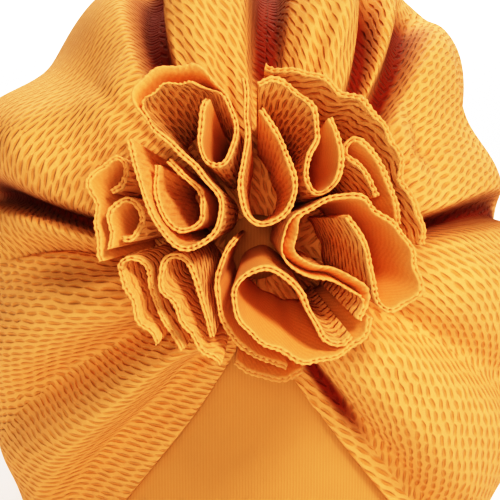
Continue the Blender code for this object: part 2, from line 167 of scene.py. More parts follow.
# A petal's free edge, turn by turn: right and up from the flower's middle, as shares of
# FLOWER_RADIUS. Height is a share of FLOWER_HEIGHT. Left and right say how bumpy each face is
# from which turn on; opened says where the two plies gape: first turn, last turn, metres to the
# left and to the right, and how deep. Grain is how far the bumps' long side is turned from
# running straight down, in degrees
Petal = namedtuple("Petal", "height turns left right opened grain")
PETALS = {
    "petal_upper_left": Petal(1.00, [
        (-0.77, 0.45), (-0.72, 0.26), (-0.63, 0.00), (-0.48, -0.19), (-0.31, -0.17),
        (-0.22, -0.02), (-0.27, 0.17), (-0.45, 0.37), (-0.66, 0.56), (-0.73, 0.70),
        (-0.64, 0.83), (-0.46, 0.89), (-0.29, 0.84), (-0.17, 0.66), (-0.13, 0.47),
        (-0.20, 0.31), (-0.32, 0.33), (-0.34, 0.50), (-0.29, 0.69)],
        [(0, 0.3), (8, 0.3), (9, 1.0), (18, 1.0)], [(0, 1.0), (13, 1.0), (14, 0.0), (18, 0.0)],
        [(8.3, 12.8, 0.0, 0.0040, 0.010)], 0),
    "petal_left": Petal(0.92, [
        (-0.60, 0.30), (-0.61, 0.15), (-0.56, -0.01), (-0.46, -0.10), (-0.34, -0.04),
        (-0.33, 0.07), (-0.41, 0.21), (-0.53, 0.33)],
        [(0, 0.3), (7, 0.3)], [(0, 0.0), (7, 0.0)], [], 0),
    "petal_outer_left": Petal(0.72, [
        (-0.94, -0.28), (-0.98, -0.06), (-1.00, 0.15), (-0.96, 0.28), (-0.86, 0.35),
        (-0.80, 0.30), (-0.82, 0.19), (-0.89, 0.14)],
        [(0, 1.0), (7, 1.0)], [(0, 0.0), (7, 0.0)], [], 0),
    "petal_small_left": Petal(0.78, [
        (-0.87, -0.20), (-0.91, -0.08), (-0.89, 0.04), (-0.80, 0.09), (-0.72, 0.05),
        (-0.70, -0.04), (-0.75, -0.13), (-0.82, -0.14)],
        [(0, 1.0), (7, 1.0)], [(0, 0.0), (7, 0.0)], [], 0),
    "petal_low_left": Petal(0.74, [
        (-0.60, -0.78), (-0.70, -0.66), (-0.79, -0.48), (-0.84, -0.33), (-0.75, -0.27),
        (-0.67, -0.31), (-0.64, -0.45), (-0.57, -0.63), (-0.45, -0.81)],
        [(0, 1.0), (8, 1.0)], [(0, 0.5), (8, 0.5)], [], 90),
    "petal_lower_left": Petal(0.86, [
        (-0.22, -0.91), (-0.34, -0.80), (-0.47, -0.62), (-0.55, -0.44), (-0.58, -0.31),
        (-0.52, -0.25), (-0.43, -0.27), (-0.37, -0.39), (-0.32, -0.56), (-0.27, -0.74)],
        [(0, 1.0), (9, 1.0)], [(0, 0.55), (9, 0.55)], [], 60),
    "petal_bottom_left": Petal(0.84, [
        (-0.13, -0.14), (-0.20, -0.26), (-0.24, -0.43), (-0.22, -0.60), (-0.15, -0.73),
        (-0.06, -0.82), (0.06, -0.88), (0.18, -0.92)],
        [(0, 0.0), (7, 0.0)], [(0, 0.5), (7, 0.5)], [], 0),
    "petal_lowest": Petal(0.66, [
        (-0.13, -0.90), (-0.04, -0.96), (0.07, -0.99), (0.18, -0.99), (0.28, -0.95)],
        [(0, 0.0), (4, 0.0)], [(0, 1.0), (4, 1.0)], [], 0),
    "petal_bottom_cornet": Petal(1.00, [
        (0.69, -0.62), (0.64, -0.73), (0.51, -0.84), (0.34, -0.88), (0.16, -0.83),
        (0.00, -0.75), (-0.11, -0.62), (-0.14, -0.48), (-0.07, -0.37), (0.05, -0.32),
        (0.17, -0.37), (0.26, -0.47), (0.33, -0.61), (0.40, -0.74), (0.50, -0.78),
        (0.57, -0.73)],
        [(0, 0.0), (9, 0.0), (10, 1.0), (15, 1.0)], [(0, 0.0), (15, 0.0)], [], 90),
    "petal_lower_right": Petal(1.00, [
        (0.61, -0.63), (0.65, -0.53), (0.57, -0.44), (0.41, -0.39), (0.25, -0.33),
        (0.16, -0.22), (0.17, -0.11), (0.23, -0.02), (0.34, 0.05), (0.48, 0.11),
        (0.65, 0.08), (0.80, -0.04), (0.92, -0.19), (0.97, -0.37), (0.92, -0.52),
        (0.82, -0.58), (0.73, -0.53), (0.69, -0.36), (0.64, -0.16), (0.54, -0.01)],
        [(0, 1.0), (19, 1.0)], [(0, 1.0), (7, 1.0), (8, 0.0), (19, 0.0)],
        [(0.6, 7.5, 0.0, 0.0026, 0.006)], 80),
    "petal_centre": Petal(1.00, [
        (-0.08, 0.81), (-0.06, 0.63), (-0.06, 0.42), (-0.10, 0.21), (-0.08, 0.03),
        (0.03, -0.05), (0.16, 0.00), (0.23, 0.14), (0.20, 0.31), (0.11, 0.50),
        (0.02, 0.64)],
        [(0, 0.4), (10, 0.4)], [(0, 1.0), (10, 1.0)], [], 0),
    "petal_upper_right": Petal(0.94, [
        (0.01, 0.77), (0.10, 0.81), (0.23, 0.76), (0.34, 0.63), (0.37, 0.48),
        (0.31, 0.36), (0.29, 0.23), (0.37, 0.14), (0.47, 0.19), (0.51, 0.32),
        (0.49, 0.46), (0.44, 0.58)],
        [(0, 1.0), (4, 1.0), (5, 0.0), (11, 0.0)], [(0, 1.0), (11, 1.0)], [], 10),
    "petal_right": Petal(0.80, [
        (0.05, 0.91), (0.24, 0.86), (0.45, 0.80), (0.63, 0.70), (0.76, 0.55),
        (0.87, 0.31), (0.96, 0.06), (1.01, -0.18)],
        [(0, 1.0), (7, 1.0)], [(0, 1.0), (7, 1.0)], [], 70),
    "petal_right_tuck": Petal(0.84, [
        (0.86, -0.06), (0.83, 0.10), (0.76, 0.28), (0.67, 0.41), (0.59, 0.46),
        (0.55, 0.39), (0.61, 0.30), (0.69, 0.20), (0.73, 0.11)],
        [(0, 0.0), (8, 0.0)], [(0, 1.0), (8, 1.0)], [], 70),
}

# Frame of the gather
cap_low, cap_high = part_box("inner_cap")
CENTRE = np.array([(cap_low.x + cap_high.x) / 2, cap_low.y + CAP.front, CENTRE_HEIGHT])
TILT = math.radians(15.0)       # how far the gather looks up
OUTWARD = np.array([0.0, -math.cos(TILT), math.sin(TILT)])
RIGHT = np.array([1.0, 0.0, 0.0])
UPWARD = np.array([0.0, math.sin(TILT), math.cos(TILT)])

# Camera, at the photograph's angle
PX = 0.00028                    # metres of the flower's plane in a pixel of the photograph
PHOTO_WIDTH_PX = 500
AIM_LEFT_PX, AIM_DOWN_PX = 7, 3         # of the gather, where the photograph's middle lies
FLOWER_PLANE = 0.102            # how far out from the centre that plane lies
CAMERA_DISTANCE = 0.650         # from that plane
SENSOR_WIDTH_MM = 36.0
camera_data = bpy.data.cameras.new("camera")
camera = bpy.data.objects.new("camera", camera_data)
bpy.context.scene.collection.objects.link(camera)
place = (CENTRE + OUTWARD * (FLOWER_PLANE + CAMERA_DISTANCE) - RIGHT * AIM_LEFT_PX * PX
         - UPWARD * AIM_DOWN_PX * PX)
turned = Matrix((RIGHT, UPWARD, OUTWARD)).transposed().to_4x4()
camera.matrix_world = Matrix.Translation(Vector(place)) @ turned
camera_data.sensor_width = SENSOR_WIDTH_MM
camera_data.lens = SENSOR_WIDTH_MM * CAMERA_DISTANCE / (PHOTO_WIDTH_PX * PX)
camera_data.clip_start, camera_data.clip_end = 0.01, 20.0
bpy.context.scene.camera = camera


# Shape of the hat, from the same rules as the CAD source
def form_radius(direction, form, grow=0.0):
    """Distance from the centre to a rounded form along unit vectors."""
    x, y, z = np.abs(direction[..., 0]), direction[..., 1], direction[..., 2]
    depth = np.where(y < 0, form.front, form.back) + grow
    height = np.where(z > 0, form.up, form.down) + grow
    total = ((x / (form.side + grow)) ** ROUNDNESS + (np.abs(y) / depth) ** ROUNDNESS
             + (np.abs(z) / height) ** ROUNDNESS)
    return total ** (-1 / ROUNDNESS)


def hem_point(around, form, grow, height):
    """Point on the outline of a form at a height, given angles from the front."""
    x, y = np.sin(around), -np.cos(around)
    depth = np.where(y < 0, form.front, form.back) + grow
    drop = (CENTRE_HEIGHT - height) / (form.down + grow)
    share = (1 - drop ** ROUNDNESS) ** (1 / ROUNDNESS)
    reach = share * ((np.abs(x) / (form.side + grow)) ** ROUNDNESS
                     + (np.abs(y) / depth) ** ROUNDNESS) ** (-1 / ROUNDNESS)
    return np.stack([x * reach, y * reach, np.full_like(reach, height - CENTRE_HEIGHT)], -1)


def unit(vectors):
    return vectors / np.linalg.norm(vectors, axis=-1, keepdims=True)


def ease(value, low, high):
    """0 below low, 1 above high, smooth between."""
    share = np.clip((value - low) / (high - low), 0, 1)
    return share * share * (3 - 2 * share)


def thread_direction(bearing, way):
    """Where the cloth's threads run, from the gather to the hem, as directions from the centre."""
    left = bearing > 90
    level = np.where(left, 180 - bearing, bearing)
    turn = np.clip((90 - level) / (90 + V_BEARING), 0, None)
    around = np.radians(180 - (180 - V_RIM_ANGLE) * turn ** THREAD_SPREAD)
    rest = np.clip(1 - turn, 0, None)
    leave = LEAVE_LOW + (LEAVE_HIGH - LEAVE_LOW) * rest ** 1.4
    arrive = ARRIVE_LOW + (ARRIVE_HIGH - ARRIVE_LOW) * rest ** 2
    lean = math.radians(HEM_LEAN) * turn ** 3
    angle = np.radians(level)
    away = np.cos(angle)[..., None] * RIGHT + np.sin(angle)[..., None] * UPWARD
    radius = math.radians(GATHER_RADIUS)
    start = math.cos(radius) * OUTWARD + math.sin(radius) * away
    heading = -math.sin(radius) * OUTWARD + math.cos(radius) * away
    end = unit(hem_point(around, CAP, WRAP_RISE, HEM_HEIGHT))
    forward = np.stack([-np.cos(around), -np.sin(around), np.zeros_like(around)], -1)
    rising = np.cos(lean)[..., None] * np.array([0.0, 0.0, 1.0]) + np.sin(lean)[..., None] * forward
    first = start + leave[..., None] * heading
    second = end + arrive[..., None] * rising
    s = way[..., None]
    path = ((1 - s) ** 3 * start + 3 * (1 - s) ** 2 * s * first + 3 * (1 - s) * s * s * second
            + s ** 3 * end)
    path = unit(path)
    path[..., 0] = np.where(left, -path[..., 0], path[..., 0])
    return path


def fold_middle(fold, way):
    return fold.bearing + fold.drift * (way - fold.start) / (fold.end - fold.start)


def fold_reach(fold, way, fade_in=FOLD_FADE_IN):
    """How strong a fold is along the way, from 0 to 1."""
    return (ease(way, fold.start, fold.start + fade_in)
            * (1 - ease(way, fold.end - FOLD_FADE_OUT, fold.end)))


def has_walls(fold):
    """Whether a fold is deep and narrow enough to show steep walls."""
    return fold.depth > CLEFT_SHALLOWEST and fold.half_width < CLEFT_WIDEST


def wall_reach(way):
    """How strong the steep walls are along the way, from 0 to 1."""
    return 1 - ease(way, CLEFT_FROM, CLEFT_GONE)


def valley_shade(bearing, way):
    """How deep a place lies in a steep-walled valley, from 0 to 1, which sets where the knit's
    colour gets its painted shade.
    """
    shade = np.zeros_like(bearing)
    for fold in list(FOLDS.values()) + NOTCHES:
        if has_walls(fold):
            off = bearing - fold_middle(fold, way)
            across = np.exp(-(off / (SHADE_REACH * fold.half_width)) ** 2)
            shade = np.maximum(shade, across * fold_reach(fold, way) * wall_reach(way))
    return shade


def fold_depth(bearing, way):
    """How far the folds and pleats draw the cloth in, in metres."""
    depth = np.zeros_like(bearing)
    for fold in list(FOLDS.values()) + NOTCHES:
        off = bearing - fold_middle(fold, way)
        across = np.exp(-(off / fold.half_width) ** 2)
        shown = VALLEY_SHOWN if fold.depth > 0 else 1.0
        if has_walls(fold):
            walls = np.exp(-(off / (CLEFT_REACH * fold.half_width)) ** 4)
            front = wall_reach(way)
            across += CLEFT_SHARE * front * (walls - across)
            shown = 1 + (VALLEY_SHOWN - 1) * front
        depth += shown * fold.depth * FOLD_DEPTH * across * fold_reach(fold, way)
    for swell in SWELLS:
        off = bearing - fold_middle(swell, way)
        along = fold_reach(swell, way, 2 * FOLD_FADE_IN)
        depth -= swell.depth * FOLD_DEPTH * np.exp(-(off / swell.half_width) ** 2) * along
    for pleat in PLEATS:
        across = np.exp(-((bearing - pleat.bearing) / pleat.half_width) ** 2)
        along = (ease(way, PLEAT_FROM, PLEAT_FULL)
                 * (1 - ease(way, PLEAT_FADING * pleat.end, PLEAT_GONE * pleat.end)))
        depth += PLEAT_SHOWN * pleat.depth * across * along
    # two waves that cross, one round the gather and one along the threads
    depth += (SLACK_DEPTH * ease(way, SLACK_FROM, SLACK_FULL)
              * np.sin(bearing / 7.3 + 9.0 * way) * np.sin(11.0 * way + bearing / 19.0))
    return depth


def lip_shift(bearing, way):
    """How far, in degrees, cloth beside a valley leans over it."""
    shift = np.zeros_like(bearing)
    for name, (side, reach) in LIPS.items():
        fold = FOLDS[name]
        beside = side * (bearing - fold_middle(fold, way)) / fold.half_width
        along = fold_reach(fold, way, 2 * FOLD_FADE_IN)
        lean = np.exp(-((beside - LIP_MIDDLE) / LIP_SPREAD) ** 2)
        shift -= side * reach * fold.half_width * lean * along
    return shift


def wrap_point(bearing, way):
    """Outside of the wraps, from the gather (way 0) to the hem (way 1)."""
    direction = thread_direction(bearing + lip_shift(bearing, way), way)
    snug = form_radius(direction, CAP, WRAP_RISE)
    full = np.maximum(form_radius(direction, PUFF), snug)
    at_v_edge = ease(np.abs(bearing - 90), 90 + V_BEARING - V_EDGE_BAND, 90 + V_BEARING)
    beside_v = 1 - (1 - V_EDGE_PUFF) * at_v_edge
    puff = ease(way, 0.0, PUFFED_FROM) * (1 - ease(way, TUCKED_FROM, 1.0)) * beside_v
    gap = (full - snug) * puff
    wanted = fold_depth(bearing, way)
    spare = (CLEFT_DEEPEST - DEEPEST_SHARE) * gap + 1e-9
    beyond = np.clip(wanted - DEEPEST_SHARE * gap, 0, None)
    drawn_in = np.minimum(wanted, DEEPEST_SHARE * gap) + spare * (1 - np.exp(-beyond / spare))
    return CENTRE + direction * (snug + gap - drawn_in)[..., None]


def smooth_line(turns, steps):
    """Points on a smooth curve through the turns, steps for each stretch, and their turn number."""
    turns = np.array(turns, float)
    padded = np.vstack([2 * turns[0] - turns[1], turns, 2 * turns[-1] - turns[-2]])
    points = []
    for before, here, there, after in zip(padded, padded[1:], padded[2:], padded[3:]):
        for step in range(steps):
            s = step / steps
            points.append(0.5 * (2 * here + (there - before) * s
                                 + (2 * before - 5 * here + 4 * there - after) * s * s
                                 + (3 * here - before - 3 * there + after) * s ** 3))
    points.append(turns[-1])
    return np.array(points), np.arange(len(points)) / steps


# Materials
def linear(hex_colour):
    """sRGB hex to the linear colour that a shader takes."""
    parts = [int(hex_colour[i:i + 2], 16) / 255 for i in (1, 3, 5)]
    return [c / 12.92 if c <= 0.04045 else ((c + 0.055) / 1.055) ** 2.4 for c in parts] + [1.0]


def add(tree, kind, settings=None, **sockets):
    """Adds a node. A setting is a property, a socket's value is a number, a colour or an output.
    A socket's name is written with _ for a blank, or as s and its number."""
    node = tree.nodes.new("ShaderNode" + kind)
    for name, value in (settings or {}).items():
        setattr(node, name, value)
    for name, value in sockets.items():
        numbered = name[0] == "s" and name[1:].isdigit()
        socket = node.inputs[int(name[1:]) if numbered else name.replace("_", " ")]
        if isinstance(value, bpy.types.NodeSocket):
            tree.links.new(value, socket)
        else:
            socket.default_value = value
    return node


BUMP_PITCH_MM = 2.05         # across the rows of bumps
BUMP_LENGTH_MM = 5.8         # from one bump to the next in a row
PIT_WIDTH = 0.52             # of the pits between bumps, as a share of the pitch
PIT_LENGTH = 0.92            # and as a share of the bumps' length
PIT_BOTTOM, PIT_RIM = -0.45, 1.45       # squared distances from a pit's middle, in half sizes
ROW_STRAY_MM = (1.6, 2.4, 0.0)          # how far the rows wander


def new_material(name):
    material = bpy.data.materials.new(name)
    material.use_nodes = True
    material.node_tree.nodes.clear()
    return material, material.node_tree


def yarn_loops(tree, place):
    """The yarn's own loops, 0.5 mm, drawn as a faint grain."""
    return add(tree, "TexNoise", {"noise_dimensions": "2D"}, Vector=place, Scale=1.7, Detail=2.0,
               Roughness=0.6)


def bullet_relief(tree, place):
    """Long tapered bumps set apart by staggered narrow pits: 1 on a bump's crown and 0 at the
    bottom of a pit, from a place in mm."""
    stray = add(tree, "TexNoise", {"noise_dimensions": "2D"}, Vector=place, Scale=0.13, Detail=1.5)
    shifted = add(tree, "VectorMath", {"operation": "MULTIPLY_ADD"}, s0=stray.outputs["Color"],
                  s1=ROW_STRAY_MM, s2=place)
    axes = add(tree, "SeparateXYZ", Vector=shifted.outputs[0])
    across = add(tree, "Math", {"operation": "DIVIDE"}, s0=axes.outputs[0], s1=BUMP_PITCH_MM)
    row = add(tree, "Math", {"operation": "FLOOR"}, s0=across.outputs[0])
    odd = add(tree, "Math", {"operation": "FLOORED_MODULO"}, s0=row.outputs[0], s1=2.0)
    half = add(tree, "Math", {"operation": "MULTIPLY"}, s0=odd.outputs[0], s1=0.5)
    along = add(tree, "Math", {"operation": "MULTIPLY_ADD"}, s0=axes.outputs[1],
                s1=1 / BUMP_LENGTH_MM, s2=half.outputs[0])
    falls = []
    for spot, size in ((across, PIT_WIDTH), (along, PIT_LENGTH)):
        part = add(tree, "Math", {"operation": "FRACT"}, s0=spot.outputs[0])
        off = add(tree, "Math", {"operation": "MULTIPLY_ADD"}, s0=part.outputs[0], s1=2 / size,
                  s2=-1 / size)
        falls.append(add(tree, "Math", {"operation": "MULTIPLY"}, s0=off.outputs[0],
                         s1=off.outputs[0]))
    both = add(tree, "Math", {"operation": "ADD"}, s0=falls[0].outputs[0], s1=falls[1].outputs[0])
    crown = add(tree, "MapRange", {"interpolation_type": "SMOOTHSTEP"}, Value=both.outputs[0],
                s1=PIT_BOTTOM, s2=PIT_RIM, s3=0.0, s4=1.0)
    return crown.outputs[0]


def bullet_knit():
    """Bullet knit, polyester with a little elastane, knitted with embossed bumps: their crowns
    catch the light, the pits between get a painted shade of deeper, redder orange, and the yarn is
    matt."""
    material, tree = new_material("bullet_knit_mustard")
    mm = add(tree, "UVMap", {"uv_map": "cloth_mm"})
    relief = bullet_relief(tree, mm.outputs["UV"])
    loops = yarn_loops(tree, mm.outputs["UV"])
    blotch = add(tree, "TexNoise", {"noise_dimensions": "2D"}, Vector=mm.outputs["UV"], Scale=0.05,
                 Detail=2.0)
    # painted shade: the pits are coloured darker and redder than the crowns, for the shade that
    # they hold
    tone = add(tree, "Mix", {"data_type": "RGBA"}, Factor=relief, s6=linear("#DE8D48"),
               s7=linear("#F0A964"))
    worn = add(tree, "MapRange", Value=blotch.outputs[0], s3=0.93, s4=1.05)
    grain = add(tree, "MapRange", Value=loops.outputs[0], s3=0.94, s4=1.06)
    level = add(tree, "Math", {"operation": "MULTIPLY"}, s0=worn.outputs[0], s1=grain.outputs[0])
    yarn = add(tree, "VectorMath", {"operation": "SCALE"}, s0=tone.outputs[2],
               Scale=level.outputs[0])
    # painted shade: in the deep valleys, where cloth pressed together shades itself, the colour is
    # multiplied towards a deep red-brown
    valley = add(tree, "Attribute", {"attribute_name": "painted_valley_shade"})
    deep = add(tree, "MapRange", {"interpolation_type": "SMOOTHSTEP"}, Value=valley.outputs["Fac"],
               s1=0.30, s2=0.92)
    colour = add(tree, "Mix", {"data_type": "RGBA", "blend_type": "MULTIPLY"},
                 Factor=deep.outputs[0], s6=yarn.outputs[0], s7=linear("#914A35"))
    fine = add(tree, "Bump", Strength=0.45, Distance=0.0002, Height=loops.outputs[0])
    bumps = add(tree, "Bump", Strength=1.0, Distance=0.00065, Height=relief,
                Normal=fine.outputs[0])
    finish_cloth(tree, colour.outputs[2], bumps.outputs[0])
    return material


def petal_knit():
    """The same bullet knit, cut raw and gathered double: embossed on one face, smooth with a fine
    slanting rib on the other, and fuzzy and beaded along the cut edges, which are lighter from
    their fuzz and from a painted highlight."""
    material, tree = new_material("bullet_knit_raw_edged")
    mm = add(tree, "UVMap", {"uv_map": "cloth_mm"})
    relief = bullet_relief(tree, mm.outputs["UV"])
    bumpy = add(tree, "Attribute", {"attribute_name": "bumpy"})
    edge = add(tree, "Attribute", {"attribute_name": "edge_fuzz_and_highlight"})
    loops = yarn_loops(tree, mm.outputs["UV"])
    # the rib's real pitch is about 0.4 mm, drawn at 0.7 mm so that it shows
    rib = add(tree, "TexWave", {"wave_type": "BANDS", "bands_direction": "DIAGONAL"},
              Vector=mm.outputs["UV"], Scale=0.32, Distortion=0.6, Detail=1.0)
    # painted shade: the pits are coloured darker and redder than the crowns, for the shade that
    # they hold
    tone = add(tree, "Mix", {"data_type": "RGBA"}, Factor=relief, s6=linear("#DA8441"),
               s7=linear("#F2AC68"))
    back = add(tree, "Mix", {"data_type": "RGBA"}, Factor=rib.outputs[1], s6=linear("#E89A55"),
               s7=linear("#ECA05B"))
    face = add(tree, "Mix", {"data_type": "RGBA"}, Factor=bumpy.outputs["Fac"], s6=back.outputs[2],
               s7=tone.outputs[2])
    # paler at the cut edges: partly their fuzz, partly a painted highlight where they catch the
    # light
    cut = add(tree, "Mix", {"data_type": "RGBA"}, Factor=edge.outputs["Fac"], s6=face.outputs[2],
              s7=linear("#E9A461"))
    grain = add(tree, "MapRange", Value=loops.outputs[0], s3=0.88, s4=1.10)
    colour = add(tree, "VectorMath", {"operation": "SCALE"}, s0=cut.outputs[2],
                 Scale=grain.outputs[0])
    fine = add(tree, "Bump", Strength=0.3, Distance=0.0002, Height=loops.outputs[0])
    ribbed = add(tree, "Bump", Strength=0.15, Distance=0.0002, Height=rib.outputs[1],
                 Normal=fine.outputs[0])
    raised = add(tree, "Math", {"operation": "MULTIPLY"}, s0=relief, s1=bumpy.outputs["Fac"])
    bumps = add(tree, "Bump", Strength=1.0, Distance=0.0008, Height=raised.outputs[0],
                Normal=ribbed.outputs[0])
    finish_cloth(tree, colour.outputs[0], bumps.outputs[0])
    return material


def plain_jersey():
    """Plain single jersey: a flat, matt face with fine upright wales, a shade browner."""
    material, tree = new_material("plain_jersey_ochre")
    spot = add(tree, "TexCoord")
    # the wales' real pitch is about 0.5 mm, drawn at 0.9 mm so that they show
    wales = add(tree, "TexWave", {"wave_type": "BANDS", "bands_direction": "X"},
                Vector=spot.outputs["Object"], Scale=350.0, Distortion=0.5, Detail=1.0)
    yarn = add(tree, "TexNoise", Vector=spot.outputs["Object"], Scale=2200.0, Detail=2.0)
    shade = add(tree, "TexNoise", Vector=spot.outputs["Object"], Scale=30.0, Detail=2.0)
    tone = add(tree, "Mix", {"data_type": "RGBA"}, Factor=wales.outputs[1], s6=linear("#CF8E50"),
               s7=linear("#D49556"))
    worn = add(tree, "MapRange", Value=shade.outputs[0], s3=0.96, s4=1.04)
    colour = add(tree, "VectorMath", {"operation": "SCALE"}, s0=tone.outputs[2],
                 Scale=worn.outputs[0])
    fine = add(tree, "Bump", Strength=0.2, Distance=0.0002, Height=yarn.outputs[0])
    bumps = add(tree, "Bump", Strength=0.15, Distance=0.0002, Height=wales.outputs[1],
                Normal=fine.outputs[0])
    finish_cloth(tree, colour.outputs[0], bumps.outputs[0])
    return material


def finish_cloth(tree, colour, normal):
    """Matt yarn: rough, hardly any shine, a little fuzz."""
    shader = add(tree, "BsdfPrincipled", Base_Color=colour, Normal=normal, Roughness=0.88,
                 Specular_IOR_Level=0.25, Sheen_Weight=0.12, Sheen_Roughness=0.5,
                 Sheen_Tint=linear("#FFD9A0"))
    add(tree, "OutputMaterial", Surface=shader.outputs[0])


# Making cloth
def values_of(items, name, kind=float, size=1):
    """One property of all a mesh's points, corners or faces."""
    values = np.zeros(len(items) * size, kind)
    items.foreach_get(name, values)
    return values


def grid_of(name, columns, rows):
    """A flat grid, with each point's column and row."""
    bpy.ops.object.select_all(action="DESELECT")
    bpy.ops.mesh.primitive_grid_add(x_subdivisions=columns, y_subdivisions=rows, size=1.0)
    cloth = bpy.context.object
    cloth.name = cloth.data.name = name
    flat = values_of(cloth.data.vertices, "co", size=3).reshape(-1, 3)
    column = np.rint((flat[:, 0] + 0.5) * columns).astype(int)
    row = np.rint((0.5 - flat[:, 1]) * rows).astype(int)
    return cloth, column, row


def lay_out(cloth, places, column, row):
    """Moves each point of the grid to its place in the array."""
    cloth.data.vertices.foreach_set("co", places[column, row].astype(np.float32).ravel())
    cloth.data.update()


def write_uv(mesh, uv_mm):
    while mesh.uv_layers:
        mesh.uv_layers.remove(mesh.uv_layers[0])
    layer = mesh.uv_layers.new(name="cloth_mm")
    layer.data.foreach_set("uv", uv_mm.astype(np.float32).ravel())


def point_value(mesh, name, values):
    attribute = mesh.attributes.new(name, "FLOAT", "POINT")
    attribute.data.foreach_set("value", values.astype(np.float32))


def finish_piece(cloth, material, slot, *nodes):
    cloth.data.materials.clear()
    cloth.data.materials.append(material)
    bpy.ops.object.select_all(action="DESELECT")
    cloth.select_set(True)
    bpy.context.view_layer.objects.active = cloth
    bpy.ops.object.shade_smooth()
    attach(cloth, "root")
    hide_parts(*nodes)


def lay_flat(mesh, face, lap_of, measured):
    """Lays a cloth of four-sided faces flat with little stretch, cut between its laps. Gives
    each face corner's place in millimetres, true to scale on the measured faces, as seen from
    the right side of the cloth."""
    edge = values_of(mesh.loops, "edge_index", int)
    first = np.full(len(mesh.edges), lap_of.max())
    last = np.zeros(len(mesh.edges), int)
    np.minimum.at(first, edge, lap_of[face])
    np.maximum.at(last, edge, lap_of[face])
    mesh.edges.foreach_set("use_seam", first != last)
    bpy.ops.object.mode_set(mode="EDIT")
    bpy.ops.mesh.select_all(action="SELECT")
    bpy.ops.uv.unwrap(method="MINIMUM_STRETCH", iterations=3, margin=0.001)
    bpy.ops.object.mode_set(mode="OBJECT")
    corners = values_of(mesh.uv_layers.active.data, "uv", size=2).reshape(-1, 4, 2)
    across = corners[:, 2] - corners[:, 0]
    beside = corners[:, 3] - corners[:, 1]
    flat_area = (across[:, 0] * beside[:, 1] - across[:, 1] * beside[:, 0]) / 2
    real_area = values_of(mesh.polygons, "area")
    for number in range(lap_of.max() + 1):
        here = lap_of == number
        judged = here & measured
        if judged.any():
            scale = math.sqrt(real_area[judged].sum() / abs(flat_area[judged].sum())) * 1000
            corners[here] *= scale
    return corners.reshape(-1, 2)


WRAP_COLUMNS, WRAP_ROWS = 290, 290
FINER_FRONT = 1.15           # how much closer the rows lie towards the flower
SEAM_COLUMNS = 3             # tucked down into the crown's valley
SEAM_TUCK = 0.0012           # how deep they go
HEM_ROWS = 3                 # of the hem's straight band
# The hem turned up inside, row by row: inwards and up
HEM_TURN_MM = [(0.35, 0.0), (0.9, 0.0), (1.4, 0.5), (1.4, 3.0)]
# The cloth rolled under at the V, column by column: on past the edge and down, and the share of
# the rows over which the roll sets in
V_ROLL_MM = [(0.45, 0.10), (0.75, 0.45), (0.75, 0.95), (0.4, 1.35), (-1.5, 1.5)]
V_ROLL_FULL = 0.08
# Shares of the way between which a lap's scale is measured, and its thread's direction, which is
# taken this many degrees to both sides of its middle
SCALE_FROM, SCALE_TO = 0.15, 0.65
GRAIN_FROM, GRAIN_TO, GRAIN_BAND = 0.12, 0.45, 6
LAP_SHIFT_MM = 37.0          # of the knit from one lap to the next, so that no two are alike


